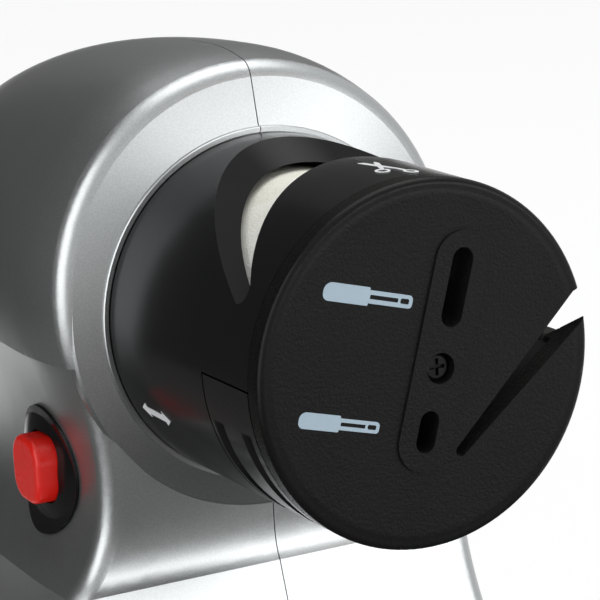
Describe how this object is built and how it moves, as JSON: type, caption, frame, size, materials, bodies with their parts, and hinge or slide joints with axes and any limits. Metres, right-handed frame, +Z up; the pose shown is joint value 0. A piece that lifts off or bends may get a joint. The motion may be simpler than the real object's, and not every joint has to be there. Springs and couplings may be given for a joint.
{
  "type": "electric knife sharpener",
  "caption": "Cordless bench knife sharpener: a silver body with a pull-off barrel head over a motor-driven grinding drum, with a knife slit, tool slots and a scissor notch.",
  "frame": {"origin": "on the table, under the centre of the bounding box", "axes": "+X to the right of someone facing the sharpening head, +Y towards the back, +Z up"},
  "size_m": [0.0824, 0.155, 0.1193],
  "materials": {
    "black_gloss": "glossy black",
    "black_spark": "fine spark texture",
    "black_inner": "plain moulded black",
    "dark_steel": "blackened",
    "abrasive_white": "fine grit",
    "steel": "plain",
    "bronze": "sintered",
    "felt": "pressed felt",
    "silver_shell": "silver metallic paint over moulded plastic",
    "red_button": "gloss",
    "white_plastic": "plain",
    "black_base": "light texture",
    "foot_rubber": "matte",
    "cell_wrap": "plain sleeve",
    "nickel": "plated",
    "lead_wire": "sleeved wire"
  },
  "bodies": {
    "body": {"left_shell": "silver_shell", "right_shell": "silver_shell", "shell_screws": "dark_steel", "base_plate": "black_base", "base_screws": "dark_steel", "rubber_feet": "foot_rubber", "motor_bracket": "steel", "motor_screws": "steel", "motor_can": "steel", "motor_cap": "black_inner", "shaft_bush": "bronze", "felt_ring": "felt", "button_bezel": "black_gloss", "switch_body": "black_inner", "switch_carrier": "black_inner", "button_spring": "steel", "battery_cells": "cell_wrap", "contact_plates": "nickel", "contact_springs": "nickel", "leads": "lead_wire"},
    "spindle": {"motor_shaft": "steel", "drum_hub": "black_inner", "grinding_drum": "abrasive_white", "drum_washer": "steel", "drum_nut": "steel"},
    "head": {"head_barrel": "black_gloss", "face_plate": "black_spark", "slot_guide": "black_inner", "face_screw": "dark_steel"},
    "dust_cup": {"dust_cup": "black_gloss"},
    "button": {"button_cap": "red_button", "switch_plunger": "white_plastic"},
    "battery_door": {"battery_door": "black_base"}
  },
  "joints": [
    {"name": "drum_spin", "type": "hinge", "parent": "body", "child": "spindle", "pos_m": [0, 0, 0.082], "axis": [0, 1, 0], "continuous": true},
    {"name": "head_pull", "type": "slide", "parent": "body", "child": "head", "axis": [0, -1, 0], "range_m": [0, 0.05]},
    {"name": "cup_drop", "type": "slide", "parent": "head", "child": "dust_cup", "axis": [0, 0, -1], "range_m": [0, 0.03]},
    {"name": "button_press", "type": "slide", "parent": "body", "child": "button", "axis": [1, 0, 0], "range_m": [0, 0.002], "stiffness_N_per_m": 400, "deforming": ["button_spring"]},
    {"name": "door_swing", "type": "hinge", "parent": "body", "child": "battery_door", "pos_m": [0, 0.04165, 0.0025], "axis": [1, 0, 0], "range_deg": [0, 80]}
  ]
}
